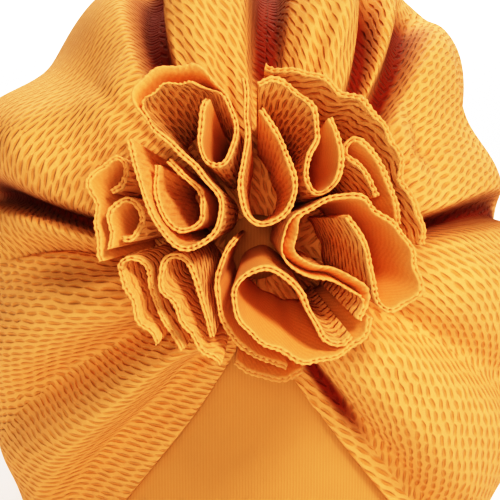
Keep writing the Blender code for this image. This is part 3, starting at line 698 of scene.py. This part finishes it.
def make_wrap(name, side, laps, material, node):
    """One puffed wrap: side is 1 on the viewer's right and -1 on the left."""
    columns, rows = WRAP_COLUMNS, WRAP_ROWS
    cloth, column, row = grid_of(name, columns, rows)
    edge, hem = columns - len(V_ROLL_MM), rows - len(HEM_TURN_MM)
    along = np.clip((np.arange(columns + 1) - SEAM_COLUMNS) / (edge - SEAM_COLUMNS), 0, 1)
    way = np.clip(np.arange(rows + 1) / (hem - HEM_ROWS), 0, 1) ** FINER_FRONT
    seam = FOLDS["crown_seam"].bearing
    v_edge = 90 - side * (90 + V_BEARING)
    bearing, way = np.meshgrid(seam + along * (v_edge - seam), way, indexing="ij")
    places = wrap_point(bearing, way)
    # the hem: a straight band, then turned up inside
    below = np.clip((np.arange(rows + 1) - (hem - HEM_ROWS)) / HEM_ROWS, 0, 1)
    places[..., 2] -= HEM_HEIGHT * below[None, :]
    inward = unit((CENTRE - places) * np.array([1.0, 1.0, 0.0]))
    for j, (turned_in, lifted) in enumerate(HEM_TURN_MM, hem + 1):
        places[:, j] = places[:, hem] + inward[:, j] * (turned_in / 1000)
        places[:, j, 2] += lifted / 1000
    # the V's edge is folded under; the seam's edge goes down into the crown's valley
    normal = unit(np.cross(np.gradient(places, axis=0), np.gradient(places, axis=1)))
    outward = unit(places - CENTRE)
    normal *= np.sign(np.sum(normal * outward, -1, keepdims=True))
    away = unit(places[edge] - places[edge - 2])
    fade = ease(np.arange(rows + 1) / rows, 0.0, V_ROLL_FULL)[:, None]
    for i, (on, down) in enumerate(V_ROLL_MM, edge + 1):
        places[i] = places[edge] + (away * on - normal[edge] * down) / 1000 * fade
    for i in range(SEAM_COLUMNS):
        share = (SEAM_COLUMNS - i) / SEAM_COLUMNS
        places[i] = places[SEAM_COLUMNS] - outward[SEAM_COLUMNS] * SEAM_TUCK * share
    lay_out(cloth, places, column, row)
    mesh = cloth.data
    if side > 0:
        mesh.flip_normals()
    # the cloth's own millimetres, lap by lap, turned to each lap's grain
    vertex = values_of(mesh.loops, "vertex_index", int)
    face = np.arange(len(vertex)) // 4      # each has four corners
    corner_column, corner_row = column[vertex].reshape(-1, 4), row[vertex].reshape(-1, 4)
    face_bearing = np.interp(corner_column.mean(axis=1), np.arange(columns + 1), bearing[:, 0])
    face_way = np.interp(corner_row.mean(axis=1), np.arange(rows + 1), way[0])
    lap_of = np.zeros(len(mesh.polygons), int)
    for lap in laps[:-1]:
        border = fold_middle(FOLDS[lap.ends_at], face_way)
        lap_of += (side * (border - face_bearing) > 0)
    flat = lay_flat(mesh, face, lap_of, (face_way > SCALE_FROM) & (face_way < SCALE_TO))
    # each face's thread, from the middle of its upper side to the middle of its lower one
    lower = (corner_row == corner_row.max(axis=1, keepdims=True))[..., None]
    thread = (flat.reshape(-1, 4, 2) * np.where(lower, 0.5, -0.5)).sum(axis=1)
    uv = np.zeros((len(vertex), 2))
    for number, lap in enumerate(laps):
        here = lap_of[face] == number
        seen = (lap_of == number) & (face_way > GRAIN_FROM) & (face_way < GRAIN_TO)
        near = seen & (np.abs(face_bearing - lap.middle) < GRAIN_BAND)
        ahead = unit(thread[near if near.any() else seen].sum(axis=0))
        angle = math.radians(lap.turned)
        long_side = np.array([ahead[0] * math.cos(angle) - ahead[1] * math.sin(angle),
                              ahead[0] * math.sin(angle) + ahead[1] * math.cos(angle)])
        uv[here, 0] = (flat[here] @ np.array([long_side[1], -long_side[0]])
                       + LAP_SHIFT_MM * number)
        uv[here, 1] = flat[here] @ long_side
    write_uv(mesh, uv)
    # the mask of the painted shade in the deep valleys, for the knit's colour
    point_value(mesh, "painted_valley_shade", valley_shade(bearing, way)[column, row])
    finish_piece(cloth, material, "bullet_knit", node)


CAP_SEGMENTS, CAP_RINGS = 160, 90
CAP_HEM_RINGS = 4            # of them below the rounded form


def make_cap(material):
    """The plain inner cap: its forehead shows in the V, its inside from below."""
    cloth, column, row = grid_of("inner_cap_cloth", CAP_SEGMENTS, CAP_RINGS)
    around = np.radians(180.0 * (2 * np.arange(CAP_SEGMENTS + 1) / CAP_SEGMENTS - 1))
    last = CAP_RINGS - CAP_HEM_RINGS
    places = np.zeros((CAP_SEGMENTS + 1, CAP_RINGS + 1, 3))
    for i, angle in enumerate(around):
        bottom = unit(hem_point(np.array(angle), CAP, 0.0, HEM_HEIGHT))
        flat = math.atan2(bottom[2], math.hypot(bottom[0], bottom[1]))
        tip = np.linspace(math.pi / 2, flat, last + 1)
        sweep = np.array([math.sin(angle), -math.cos(angle)])
        direction = np.stack([np.cos(tip) * sweep[0], np.cos(tip) * sweep[1], np.sin(tip)], -1)
        places[i, :last + 1] = direction * form_radius(direction, CAP)[:, None]
    for step in range(1, CAP_HEM_RINGS + 1):
        places[:, last + step] = places[:, last]
        places[:, last + step, 2] -= HEM_HEIGHT * step / CAP_HEM_RINGS
    lay_out(cloth, places + CENTRE, column, row)
    write_uv(cloth.data, np.zeros((len(cloth.data.loops), 2)))
    bpy.ops.object.mode_set(mode="EDIT")
    bpy.ops.mesh.select_all(action="SELECT")
    bpy.ops.mesh.remove_doubles(threshold=0.00005)
    bpy.ops.mesh.normals_make_consistent(inside=False)
    bpy.ops.object.mode_set(mode="OBJECT")
    wall = cloth.modifiers.new("wall", "SOLIDIFY")
    wall.thickness = CAP_WALL
    wall.offset = -1.0
    bpy.ops.object.modifier_apply(modifier=wall.name)
    finish_piece(cloth, material, "plain_jersey", "inner_cap")


def turn_value(table, turn_number):
    """A value that is given at some turns, at any turn number."""
    return np.interp(turn_number, [t[0] for t in table], [t[1] for t in table])


EDGE_STEP = 0.00036          # of a ruffle's columns along its edge
FACE_ROWS = 13               # of each face, from the edge to the foot
FACE_CLOSER = 1.5            # how much closer these rows lie towards the edge
PETAL_FLARE = 1.35           # how late a petal spreads on its way up from the foot
FOOT_SUNK = 0.0004           # how far the foot goes into the cloth below
FOOT_THINNER = 0.3           # by what share the plies thin out to the foot
EDGE_WAVES = (0.031, 0.017, 0.0105)     # lengths of the waves in which the edge wanders
WAVE_RISE, WAVE_SWAY = 0.0010, 0.0005   # how far, up and to the side
GAPE_TURNS = 1.2             # over how many turns the plies part and meet again
GAPE_LEAST = 0.001           # the least depth, so that nothing is divided by zero
GAPE_CURVE = 1.5             # how soon it narrows on its way down
EDGE_BEAD_MM = 1.9           # from one bead of the cut edge to the next
EDGE_THIN, EDGE_THICK = 0.00064, 0.00092    # half of both plies with the slot between them
SLOT_SHUT, SLOT_OPEN = 0.00003, 0.00026     # half the slot at a bead, and what midway adds
EDGE_ROUND = 0.0004          # how far down a ply's cut edge is rounded
EDGE_DIP = 0.00035           # how much lower the edge lies between two beads
BEAD_BULGE = 0.00030         # how far a bead stands out from the face
GROOVE_DEPTH = 0.0007        # of the slot between the plies, where they don't gape
BULGE_FADE = 0.0012          # depths below the edge over which a bead's bulge dies out,
FUZZ_FADE = 0.0009           # the cut edge's paler fuzz and painted highlight on a face
SLOT_FADE = 0.0006           # and that in the slot


def make_petal(name, petal, ground, material, node):
    """A ruffle: two plies of cloth that stand up from the wraps, with their cut edges foremost."""
    foot_level = CAP.front + WRAP_RISE
    height = petal.height * FLOWER_HEIGHT
    top = foot_level + height
    fine, number = smooth_line(petal.turns, 60)
    fine = fine * FLOWER_RADIUS
    run = np.concatenate([[0], np.cumsum(np.linalg.norm(np.diff(fine, axis=0), axis=1))])
    columns = int(run[-1] / EDGE_STEP)
    spots = np.linspace(0, run[-1], columns + 1)
    plan = np.stack([np.interp(spots, run, fine[:, k]) for k in (0, 1)], -1)
    turn_number = np.interp(spots, run, number)
    tangent = unit(np.gradient(plan, axis=0))
    leftward = np.stack([-tangent[:, 1], tangent[:, 0]], -1)
    middle = np.array([0.0, FLOWER_RISE])
    seed = sum(ord(letter) for letter in name)
    rng = np.random.default_rng(seed)
    waves = sum(rng.uniform(0.4, 1.0) * np.sin(2 * math.pi * spots / period + rng.uniform(0, 6.28))
                for period in EDGE_WAVES) / 2

    def spread(level):
        """How far out the petal reaches at a level, from which the plan is scaled."""
        share = np.clip((level - foot_level) / height, 0, None)
        return PETAL_FOOT + (1 - PETAL_FOOT) * petal.height * share ** PETAL_FLARE

    full = spread(np.array(top))
    foot = np.full(columns + 1, foot_level)
    for _ in range(3):
        spot = plan / full * spread(foot)[:, None] + middle
        foot = ground_under(spot, ground) - FOOT_SUNK
    opened_left, opened_right, opened_deep = np.zeros((3, columns + 1))
    for first, last, to_left, to_right, deep in petal.opened:
        share = (ease(turn_number, first, first + GAPE_TURNS)
                 * (1 - ease(turn_number, last - GAPE_TURNS, last)))
        opened_left += to_left * share
        opened_right += to_right * share
        opened_deep += deep * share

    def wandering(knots, low, high):
        """Random values along the edge, drawn at evenly spaced knots."""
        return np.interp(spots, np.linspace(0, run[-1], knots), rng.uniform(low, high, knots))

    stray = wandering(50, -0.9, 0.9)
    # 0 on a bead, where the plies are pinched together, and 1 midway to the next
    bead = 0.5 - 0.5 * np.cos(2 * math.pi * spots / (EDGE_BEAD_MM / 1000) + stray)
    uneven = wandering(60, 0.15, 1.0)
    half = wandering(25, EDGE_THIN, EDGE_THICK)
    slot = SLOT_SHUT + SLOT_OPEN * bead ** 2 * uneven
    ply = half - slot
    level_top = top + WAVE_RISE * waves - EDGE_DIP * bead * uneven
    deep = level_top - foot
    bulge = BEAD_BULGE * (1 - bead) * uneven
    groove = np.maximum(GROOVE_DEPTH, opened_deep)
    nought = 0 * deep

    def gape(depth, opened):
        reach = np.maximum(opened_deep, GAPE_LEAST)
        return opened * (1 - np.clip(depth / reach, 0, 1)) ** GAPE_CURVE

    # A row of the ruffle's section says how deep it lies below the edge, how far to the left, how
    # bumpy it is and how pale with fuzz and painted highlight. Side is 1 for the left ply and -1
    # for the right one
    def face_row(share, side, opened, bumps):
        """On a face, by the share of the way from the edge to the foot."""
        depth = share * deep + EDGE_ROUND * (1 - share)
        off = (half * (1 - FOOT_THINNER * share) + bulge * np.exp(-depth / BULGE_FADE)
               + gape(depth, opened))
        return depth, side * off, bumps, np.exp(-depth / FUZZ_FADE)

    def edge_row(share, side, opened):
        """Round a ply's cut edge, by the share of the half turn from its face to the slot."""
        angle = math.pi * share
        off = (half + slot) / 2 + (ply / 2 + bulge) * math.cos(angle) + gape(nought, opened)
        return EDGE_ROUND - EDGE_ROUND * math.sin(angle) + nought, side * off, nought, 1 + nought

    def slot_row(share, side, opened):
        """On a ply's inside, by the share of the way down the slot."""
        depth = EDGE_ROUND + groove * share
        off = slot * (1 - share) + gape(depth, opened)
        return depth, side * off, nought, np.exp(-depth / SLOT_FADE)

    on_face = np.linspace(0, 1, FACE_ROWS) ** FACE_CLOSER
    on_edge = (0.2, 0.5, 0.8)
    in_slot = (0.25, 0.6, 0.9)
    left_bumpy = turn_value(petal.left, turn_number)
    right_bumpy = turn_value(petal.right, turn_number)
    rows_of = ([face_row(share, 1, opened_left, left_bumpy) for share in on_face[::-1]]
               + [edge_row(share, 1, opened_left) for share in on_edge]
               + [slot_row(share, 1, opened_left) for share in in_slot]
               + [(EDGE_ROUND + groove, nought, nought, nought)]
               + [slot_row(share, -1, opened_right) for share in in_slot[::-1]]
               + [edge_row(share, -1, opened_right) for share in on_edge[::-1]]
               + [face_row(share, -1, opened_right, right_bumpy) for share in on_face])
    rows = len(rows_of)

    cloth, column, row = grid_of(name, columns, rows)
    places = np.zeros((columns + 1, rows + 1, 3))
    bumpy, edge, down = np.zeros((3, columns + 1, rows + 1))
    wobble = WAVE_SWAY * waves
    # the last row lies on the first, so the faces between them shut the foot
    for j in range(rows + 1):
        depth, off, bumps_here, fuzz_and_highlight_here = rows_of[j % rows]
        level = level_top - depth
        flat = (plan / full) * spread(level)[:, None] + leftward * (off + wobble)[:, None] + middle
        places[:, j] = (CENTRE + level[:, None] * OUTWARD + flat[:, :1] * RIGHT
                        + flat[:, 1:] * UPWARD)
        bumpy[:, j], edge[:, j], down[:, j] = bumps_here, fuzz_and_highlight_here, depth * 1000
    lay_out(cloth, places, column, row)
    mesh = cloth.data
    vertex = values_of(mesh.loops, "vertex_index", int)
    along_mm = spots[column[vertex]] * 1000
    down_mm = down[column[vertex], row[vertex]]
    angle = math.radians(petal.grain)
    uv = np.stack([along_mm * math.cos(angle) + down_mm * math.sin(angle),
                   -along_mm * math.sin(angle) + down_mm * math.cos(angle)], -1)
    write_uv(mesh, uv)
    point_value(mesh, "bumpy", bumpy[column, row])
    # the cut edges' paleness: their fuzz and a painted highlight
    point_value(mesh, "edge_fuzz_and_highlight", edge[column, row])
    bpy.ops.object.mode_set(mode="EDIT")
    bpy.ops.mesh.select_all(action="SELECT")
    bpy.ops.mesh.remove_doubles(threshold=0.0000005)
    bpy.ops.mesh.select_all(action="DESELECT")
    bpy.ops.mesh.select_non_manifold()
    bpy.ops.mesh.fill_holes(sides=0)
    bpy.ops.mesh.select_all(action="SELECT")
    bpy.ops.mesh.normals_make_consistent(inside=False)
    bpy.ops.object.mode_set(mode="OBJECT")
    finish_piece(cloth, material, "petal_knit", node)


RAY_START = 0.2              # how far out from the centre the rays start, beyond all cloth


def ground_under(points, ground):
    """How far out from the centre the cloth reaches below each point of the flower's plan."""
    heights = []
    for right, up in points:
        origin = CENTRE + RAY_START * OUTWARD + right * RIGHT + up * UPWARD
        reach = [tree.ray_cast(Vector(origin), Vector(-OUTWARD))[3] for tree in ground]
        heights.append(RAY_START - min(distance for distance in reach if distance))
    return np.array(heights)


bullet = bullet_knit()
ruffled = petal_knit()
jersey = plain_jersey()

make_wrap("left_wrap_cloth", -1, LEFT_LAPS, bullet, "left_wrap")
make_wrap("right_wrap_cloth", 1, RIGHT_LAPS, bullet, "right_wrap")
make_cap(jersey)
depsgraph = bpy.context.evaluated_depsgraph_get()
ground = [BVHTree.FromObject(bpy.data.objects[name], depsgraph)
          for name in ("left_wrap_cloth", "right_wrap_cloth", "inner_cap_cloth")]
for node, petal in PETALS.items():
    make_petal(node.replace("petal", "ruffle"), petal, ground, ruffled, node)

# Floor and lights
bpy.ops.object.select_all(action="DESELECT")
bpy.ops.mesh.primitive_plane_add(size=12.0, location=(0, 0, 0))
floor = bpy.context.object
floor.name = "floor"
paint, tree = new_material("pale_matt_paint")
shader = add(tree, "BsdfPrincipled", Base_Color=linear("#F6F5F3"), Roughness=0.9)
add(tree, "OutputMaterial", Surface=shader.outputs[0])
floor.data.materials.append(paint)

world = bpy.data.worlds.new("studio")
bpy.context.scene.world = world
world.use_nodes = True
world.node_tree.nodes["Background"].inputs["Color"].default_value = (1.0, 1.0, 1.0, 1.0)
world.node_tree.nodes["Background"].inputs["Strength"].default_value = 0.30


def add_light(name, place, size, watts, aim=(0.0, 0.0, 0.08)):
    light = bpy.data.lights.new(name, "AREA")
    light.shape = "DISK"
    light.size = size
    light.energy = watts
    lamp = bpy.data.objects.new(name, light)
    bpy.context.scene.collection.objects.link(lamp)
    lamp.location = place
    lamp.rotation_euler = (Vector(aim) - Vector(place)).to_track_quat("-Z", "Y").to_euler()


add_light("key_softbox", (0.60, -0.90, 1.28), 0.4, 29.5)
add_light("front_fill", (-0.10, -1.6, 0.60), 0.7, 13.0)
add_light("floor_softbox", (0.0, 2.2, 1.6), 1.6, 150.0, aim=(0.0, 1.9, 0.0))

scene = bpy.context.scene
scene.view_settings.view_transform = "Standard"
scene.view_settings.look = "None"
# a camera's usual tone curve: deep shadows and soft highlights, in scene-linear light
TONES = [(0.05, 0.006), (0.1, 0.020), (0.2, 0.070), (0.3, 0.145), (0.45, 0.27), (0.6, 0.41),
         (0.8, 0.58), (1.0, 0.72), (1.3, 0.86), (1.6, 0.93), (2.0, 0.98)]
WHITE = 2.5
scene.view_settings.use_curve_mapping = True
mapping = scene.view_settings.curve_mapping
mapping.white_level = (WHITE, WHITE, WHITE)
for light, shown in TONES:
    mapping.curves[3].points.new(light / WHITE, shown)
mapping.update()
